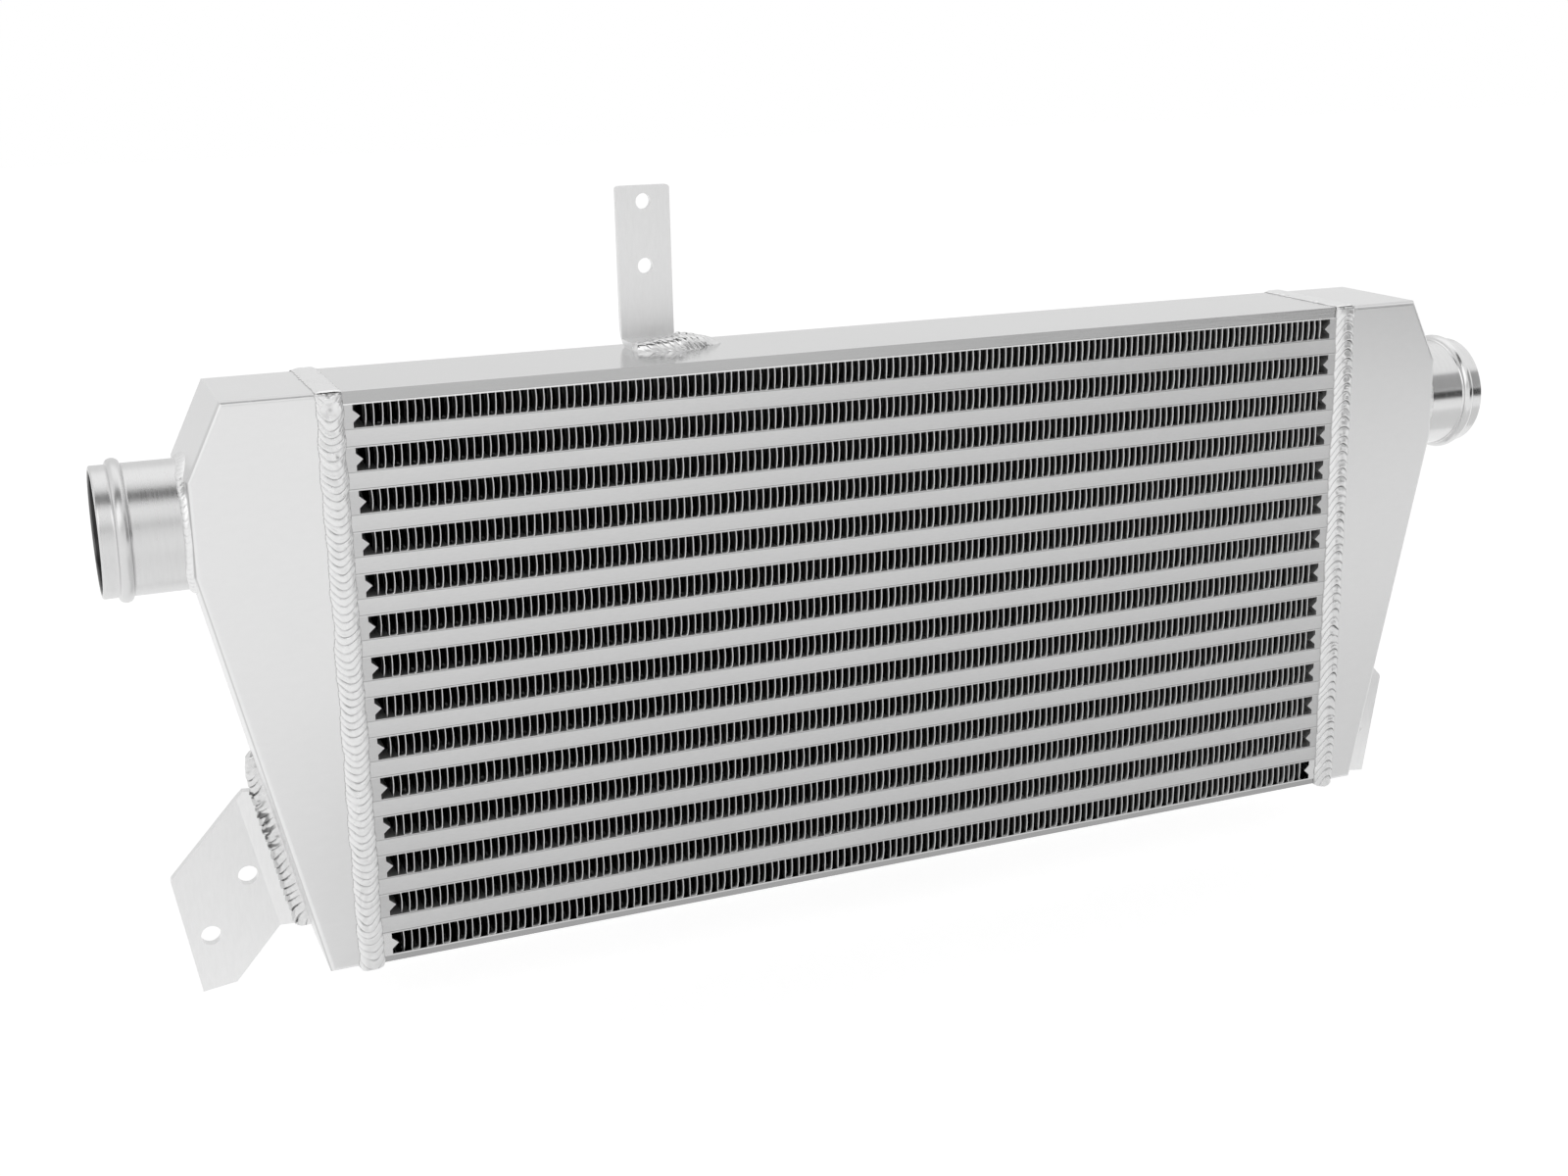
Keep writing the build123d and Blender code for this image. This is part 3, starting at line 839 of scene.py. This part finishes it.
def make_stub(side, material):
    """A hose stub, turned from its profile."""
    name = SIDE_NAMES[side] + "_stub_turned"
    turns = [2 * math.pi * k / STUB_SEGMENTS for k in range(STUB_SEGMENTS)]
    rows = []
    for along, radius in stub_profile():
        rows.append([(side * along, radius * math.cos(a), STUB_HEIGHT + radius * math.sin(a)) for a in turns])
    add_piece(name, grid_mesh(name, rows, closed=True), material, "stub", "pipes")


# CAD nodes

def dress(node, material, bevel=0.0):
    """Gives a CAD node its finish, and eases its sharp edges by the bevel."""
    node.data.materials.clear()
    node.data.materials.append(material)
    if bevel:
        ease = node.modifiers.new("eased_edges", "BEVEL")
        ease.width = bevel
        ease.segments = BEVEL_SEGMENTS
        ease.limit_method = "ANGLE"
        ease.angle_limit = BEVEL_ANGLE
        ease.harden_normals = True


def dress_nodes():
    """Gives every CAD node its finish, also those that a piece replaces."""
    for name, node in sorted(nodes.items()):
        if name.startswith(("charge_fin", "air_fin")):
            dress(node, inner_fin_shade_metal)
        elif name.startswith("charge_cell"):
            dress(node, bar_metal)
        elif name.endswith("side_plate"):
            dress(node, plate_metal)
        elif name.endswith("_tank"):
            dress(node, tank_metal, TANK_BEVEL)
        elif name.endswith("bracket"):
            dress(node, bracket_metal, BRACKET_BEVEL)
        elif name == "pipes":
            dress(node, satin_metal)
        else:
            dress(node, weld_metal)


# Studio

def seen_directly(tree):
    """One for camera, mirrored and transmitted rays, and nothing for the rays that light the object."""
    path = tree.nodes.new("ShaderNodeLightPath")
    seen = math_node(tree, "MAXIMUM", path.outputs["Is Camera Ray"], path.outputs["Is Glossy Ray"])
    return math_node(tree, "MAXIMUM", seen, path.outputs["Is Transmission Ray"])


def mix_shaders(tree, factor, first, second, target):
    mix = tree.nodes.new("ShaderNodeMixShader")
    tree.links.new(factor, mix.inputs["Fac"])
    tree.links.new(first, mix.inputs[1])
    tree.links.new(second, mix.inputs[2])
    tree.links.new(mix.outputs["Shader"], target)


def emission(tree, strength):
    glow = tree.nodes.new("ShaderNodeEmission")
    glow.inputs["Color"].default_value = grey(1)
    glow.inputs["Strength"].default_value = strength
    return glow.outputs["Emission"]


def add_sheet(name, corners, material):
    """A flat sheet of four corners that belongs to the studio."""
    mesh = bpy.data.meshes.new(name)
    mesh.from_pydata(corners, [], [(0, 1, 2, 3)])
    mesh.materials.append(material)
    sheet = bpy.data.objects.new(name, mesh)
    bpy.context.scene.collection.objects.link(sheet)


def level_corners(low, high, z):
    """Corners of a level sheet between two (x, y) corners."""
    return [(low[0], low[1], z), (high[0], low[1], z), (high[0], high[1], z), (low[0], high[1], z)]


def upright_corners(start, end, low, high):
    """Corners of an upright sheet along the line between two (x, y) points."""
    return [(*start, low), (*end, low), (*end, high), (*start, high)]


def make_floor():
    """A pale floor just below the brackets' tips: white where it is seen, with the object's soft shadow."""
    material, tree, shader = new_material("floor_white")
    shader.inputs["Base Color"].default_value = grey(FLOOR_LEVEL)
    shader.inputs["Roughness"].default_value = FLOOR_ROUGHNESS
    faint = tree.nodes.new("ShaderNodeBsdfDiffuse")
    faint.inputs["Color"].default_value = grey(FLOOR_LEVEL * SHADOW_SHARE)
    both = tree.nodes.new("ShaderNodeAddShader")
    tree.links.new(faint.outputs["BSDF"], both.inputs[0])
    tree.links.new(emission(tree, FLOOR_GLOW), both.inputs[1])
    surface = tree.nodes["Material Output"].inputs["Surface"]
    mix_shaders(tree, seen_directly(tree), shader.outputs["BSDF"], both.outputs["Shader"], surface)
    low, high = (-FLOOR_REACH, -FLOOR_REACH), (FLOOR_REACH, FLOOR_REACH)
    add_sheet("floor", level_corners(low, high, FLOOR_HEIGHT), material)


def make_world():
    """A white world to the camera and in reflections, and plain soft light for everything else."""
    world = bpy.data.worlds.new("studio")
    bpy.context.scene.world = world
    world.use_nodes = True
    tree = world.node_tree
    soft = tree.nodes["Background"]
    white = tree.nodes.new("ShaderNodeBackground")
    for background, strength in ((soft, WORLD_LIGHT), (white, 1.0)):
        background.inputs["Color"].default_value = grey(1)
        background.inputs["Strength"].default_value = strength
    surface = tree.nodes["World Output"].inputs["Surface"]
    mix_shaders(tree, seen_directly(tree), soft.outputs["Background"], white.outputs["Background"], surface)


def add_card(name, level, corners):
    """A grey studio card that shows in reflections alone, so that bright metal has something to mirror."""
    material, tree, shader = new_material(name)
    tree.nodes.remove(shader)
    clear = tree.nodes.new("ShaderNodeBsdfTransparent")
    path = tree.nodes.new("ShaderNodeLightPath")
    surface = tree.nodes["Material Output"].inputs["Surface"]
    mix_shaders(tree, path.outputs["Is Glossy Ray"], clear.outputs["BSDF"], emission(tree, level), surface)
    add_sheet(name, corners, material)


def make_cards():
    """Cards round the object: dark bands for the stubs, a faint one for the top, and on the floor a painted shadow
    for the lower faces to mirror.
    """
    floor = FLOOR_HEIGHT
    add_card("card_low_right", 0.03, upright_corners((0.9, -1.9), (3.0, -0.7), floor, 0.30))
    add_card("card_high_front", 0.70, upright_corners((-1.5, -1.7), (0.5, -1.7), 0.38, 0.80))
    add_card("card_steep_left", 0.12, level_corners((-2.0, -0.68), (0.4, -0.18), 1.2))
    add_card("card_high_right", 0.42, upright_corners((0.8, -1.8), (2.4, -0.9), 0.34, 1.40))
    add_card("card_behind", 0.88, upright_corners((-3.0, 2.5), (3.0, 2.5), floor, 2.0))
    # A painted shadow: a sheet just above the floor in front, seen only in reflections, standing in for the
    # object's shadow there
    add_card("card_painted_floor_shadow", 0.82, level_corners((-0.24, -0.34), (0.7, -0.04), floor + 0.001))


def add_lamp(name, place, size, power):
    """A rectangular lamp that faces the object's middle."""
    light = bpy.data.lights.new(name, "AREA")
    light.shape = "RECTANGLE"
    light.size, light.size_y = size
    light.energy = power
    lamp = bpy.data.objects.new(name, light)
    lamp.location = place
    lamp.rotation_euler = (-Vector(place)).to_track_quat("-Z", "Y").to_euler()
    bpy.context.scene.collection.objects.link(lamp)


def make_camera():
    """The camera at the photograph's place, turned by its azimuth, elevation and roll."""
    level = math.cos(CAMERA_ELEVATION)
    east, north = math.sin(CAMERA_AZIMUTH), math.cos(CAMERA_AZIMUTH)
    forward = Vector((east * level, north * level, -math.sin(CAMERA_ELEVATION)))
    right = Vector((north, -east, 0))
    up = right.cross(forward)
    tilted_right = right * math.cos(CAMERA_ROLL) + up * math.sin(CAMERA_ROLL)
    tilted_up = up * math.cos(CAMERA_ROLL) - right * math.sin(CAMERA_ROLL)
    data = bpy.data.cameras.new("camera")
    data.lens = LENS
    data.sensor_width = SENSOR
    data.shift_x = SHIFT_X
    data.shift_y = SHIFT_Y
    data.clip_start = NEAREST_SEEN
    data.clip_end = FARTHEST_SEEN
    camera = bpy.data.objects.new("camera", data)
    bpy.context.scene.collection.objects.link(camera)
    turn = Matrix((tilted_right, tilted_up, -forward)).transposed()
    camera.matrix_world = Matrix.Translation(Vector(CAMERA_PLACE)) @ turn.to_4x4()
    bpy.context.scene.camera = camera


dress_nodes()
for fin_row in range(FIN_ROWS):
    make_fin_row(f"air_fin_{fin_row + 1:02d}", FIRST_FIN_SEED + fin_row)
make_tank_weld(LEFT)
make_tank_weld(RIGHT)
make_stub(LEFT, satin_metal)
make_stub(RIGHT, polished_metal)
make_stub_weld(LEFT)
make_stub_weld(RIGHT)
make_bracket_welds()
make_floor()
make_world()
make_cards()
add_lamp("key", place=(-1.2, -1.3, 1.2), size=(2.0, 1.6), power=4.5)
add_lamp("top", place=(0.2, 0.6, 1.6), size=(2.2, 1.2), power=1.6)
make_camera()
bpy.context.scene.view_settings.view_transform = "Standard"
